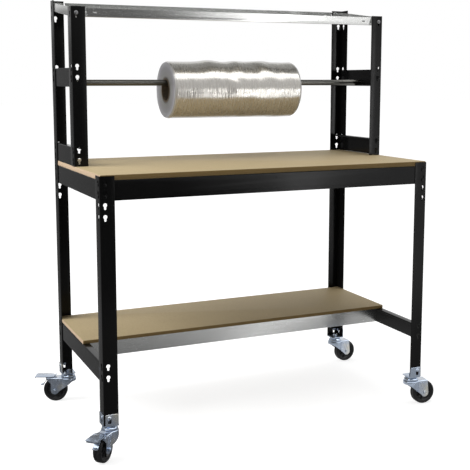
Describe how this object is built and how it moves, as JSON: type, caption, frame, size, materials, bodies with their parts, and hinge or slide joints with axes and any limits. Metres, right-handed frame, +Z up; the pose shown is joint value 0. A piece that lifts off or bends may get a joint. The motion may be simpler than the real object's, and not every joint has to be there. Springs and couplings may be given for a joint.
{
  "type": "mobile packing bench with film-roll bar",
  "caption": "Mobile packing bench: black keyhole-post steel frame on swivel casters, fibreboard worktop and shelf, tilted tray, and a bar carrying a film roll.",
  "frame": {"origin": "bottom centre of the bounding box, on the floor under the casters", "axes": "+X to the bench's right seen from its front, +Y to the rear, +Z up"},
  "size_m": [1.3708, 0.7316, 1.483],
  "materials": {
    "black_paint": "satin powder coat",
    "galvanised": "plain zinc-coated sheet",
    "zinc": "bright zinc plate",
    "fibreboard": "bare medium-density fibreboard",
    "bar_steel": "drawn tube, lightly oiled",
    "cardboard": "wound paper tube",
    "film": "clear film, many layers",
    "tyre_rubber": "matte",
    "nylon": "satin"
  },
  "bodies": {
    "frame": {"post_front_left": "black_paint", "post_front_right": "black_paint", "post_rear_right": "black_paint", "post_rear_left": "black_paint", "upper_post_front_left": "black_paint", "upper_post_front_right": "black_paint", "worktop_beam_front": "black_paint", "worktop_beam_rear": "black_paint", "worktop_beam_left": "black_paint", "shelf_beam_left": "black_paint", "worktop_beam_right": "black_paint", "shelf_beam_right": "black_paint", "shelf_beam_rear": "galvanised", "shelf_beam_front": "galvanised", "worktop_cross_brace": "galvanised", "low_crossbeam_left": "black_paint", "middle_crossbeam_left": "black_paint", "low_crossbeam_right": "black_paint", "middle_crossbeam_right": "black_paint", "worktop_board": "fibreboard", "shelf_board": "fibreboard", "top_tray": "galvanised", "tray_bolt_front_left": "zinc", "tray_bolt_rear_left": "zinc", "tray_bolt_front_right": "zinc", "tray_bolt_rear_right": "zinc", "caster_front_left_bracket": "zinc", "caster_front_left_swivel_head": "zinc", "caster_front_right_bracket": "zinc", "caster_front_right_swivel_head": "zinc", "caster_rear_right_bracket": "zinc", "caster_rear_right_swivel_head": "zinc", "caster_rear_left_bracket": "zinc", "caster_rear_left_swivel_head": "zinc"},
    "roll_bar": {"roll_bar": "bar_steel"},
    "film_roll": {"roll_core": "cardboard", "film_roll": "film"},
    "fork_front_left": {"caster_front_left_fork": "zinc", "caster_front_left_axle": "zinc", "caster_front_left_brake_pin": "zinc"},
    "wheel_front_left": {"caster_front_left_wheel": "nylon", "caster_front_left_tyre": "tyre_rubber"},
    "brake_front_left": {"caster_front_left_brake_pedal": "zinc", "caster_front_left_brake_shoe": "zinc"},
    "fork_front_right": {"caster_front_right_fork": "zinc", "caster_front_right_axle": "zinc"},
    "wheel_front_right": {"caster_front_right_wheel": "nylon", "caster_front_right_tyre": "tyre_rubber"},
    "fork_rear_right": {"caster_rear_right_fork": "zinc", "caster_rear_right_axle": "zinc"},
    "wheel_rear_right": {"caster_rear_right_wheel": "nylon", "caster_rear_right_tyre": "tyre_rubber"},
    "fork_rear_left": {"caster_rear_left_fork": "zinc", "caster_rear_left_axle": "zinc", "caster_rear_left_brake_pin": "zinc"},
    "wheel_rear_left": {"caster_rear_left_wheel": "nylon", "caster_rear_left_tyre": "tyre_rubber"},
    "brake_rear_left": {"caster_rear_left_brake_pedal": "zinc", "caster_rear_left_brake_shoe": "zinc"}
  },
  "joints": [
    {"name": "roll_bar_lift", "type": "slide", "parent": "frame", "child": "roll_bar", "axis": [0, 0, 1], "range_m": [0, 0.06]},
    {"name": "film_roll_spin", "type": "hinge", "parent": "roll_bar", "child": "film_roll", "pos_m": [0.04304, 0.16901, 1.1656], "axis": [1, 0, 0], "continuous": true},
    {"name": "swivel_front_left", "type": "hinge", "parent": "frame", "child": "fork_front_left", "pos_m": [-0.56696, -0.26449, 0.092], "axis": [0, 0, 1], "continuous": true},
    {"name": "wheel_spin_front_left", "type": "hinge", "parent": "fork_front_left", "child": "wheel_front_left", "pos_m": [-0.6003, -0.29902, 0.044], "axis": [0.7193, -0.6947, 0], "continuous": true},
    {"name": "brake_front_left", "type": "hinge", "parent": "fork_front_left", "child": "brake_front_left", "pos_m": [-0.61559, -0.31485, 0.087], "axis": [0.7193, -0.6947, 0], "range_deg": [0, 5]},
    {"name": "swivel_front_right", "type": "hinge", "parent": "frame", "child": "fork_front_right", "pos_m": [0.59304, -0.26449, 0.092], "axis": [0, 0, 1], "continuous": true},
    {"name": "wheel_spin_front_right", "type": "hinge", "parent": "fork_front_right", "child": "wheel_front_right", "pos_m": [0.64086, -0.26868, 0.044], "axis": [0.0872, 0.9962, 0], "continuous": true},
    {"name": "swivel_rear_right", "type": "hinge", "parent": "frame", "child": "fork_rear_right", "pos_m": [0.59304, 0.29551, 0.092], "axis": [0, 0, 1], "continuous": true},
    {"name": "wheel_spin_rear_right", "type": "hinge", "parent": "fork_rear_right", "child": "wheel_rear_right", "pos_m": [0.64102, 0.29676, 0.044], "axis": [-0.0262, 0.9997, 0], "continuous": true},
    {"name": "swivel_rear_left", "type": "hinge", "parent": "frame", "child": "fork_rear_left", "pos_m": [-0.56696, 0.29551, 0.092], "axis": [0, 0, 1], "continuous": true},
    {"name": "wheel_spin_rear_left", "type": "hinge", "parent": "fork_rear_left", "child": "wheel_rear_left", "pos_m": [-0.61046, 0.31579, 0.044], "axis": [-0.4226, -0.9063, 0], "continuous": true},
    {"name": "brake_rear_left", "type": "hinge", "parent": "fork_rear_left", "child": "brake_rear_left", "pos_m": [-0.6304, 0.32509, 0.087], "axis": [-0.4226, -0.9063, 0], "range_deg": [0, 5]}
  ]
}
